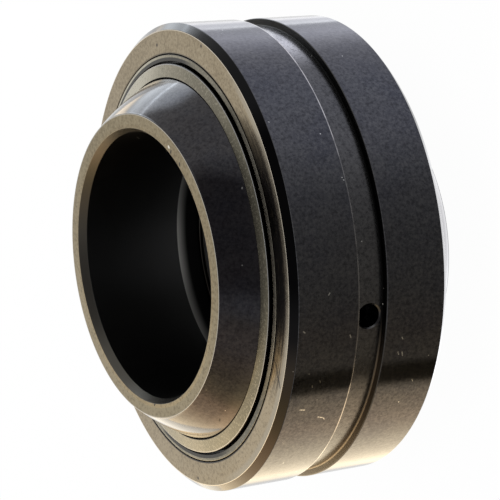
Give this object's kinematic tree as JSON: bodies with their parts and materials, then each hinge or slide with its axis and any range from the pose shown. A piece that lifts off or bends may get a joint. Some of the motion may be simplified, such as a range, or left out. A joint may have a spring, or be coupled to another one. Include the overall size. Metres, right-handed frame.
{
  "type": "sealed spherical plain bearing",
  "caption": "Sealed spherical plain bearing bushing: a ball-shaped inner ring with a plain bore swivels in a wide grooved outer ring with lip seals.",
  "frame": {"origin": "centre of the inner ring's rear end face, which is the face it stands on", "axes": "+Z along the inner ring's bore, towards its front end face; the outer ring leans towards +X about the Y axis"},
  "size_m": [0.0634, 0.062, 0.035],
  "materials": {
    "ball_steel": "ground and dark phosphated bearing steel, satin",
    "ring_steel": "ground and dark phosphated bearing steel, satin",
    "front_seal_polymer": "smooth grey-brown seal polymer, satin",
    "back_seal_polymer": "smooth grey-brown seal polymer, satin"
  },
  "bodies": {
    "inner": {"inner_ring": "ball_steel"},
    "seals": {"seal_front": "front_seal_polymer", "seal_back": "back_seal_polymer"},
    "outer": {"outer_ring": "ring_steel"}
  },
  "joints": [
    {"name": "ball_tilt", "type": "hinge", "parent": "inner", "child": "seals", "pos_m": [0, 0, 0.0175], "axis": [0, 1, 0], "range_deg": [-19.6, 10.3]},
    {"name": "ring_spin", "type": "hinge", "parent": "seals", "child": "outer", "pos_m": [0, 0, 0.0175], "axis": [0.0805, 0, 0.9968], "continuous": true}
  ]
}
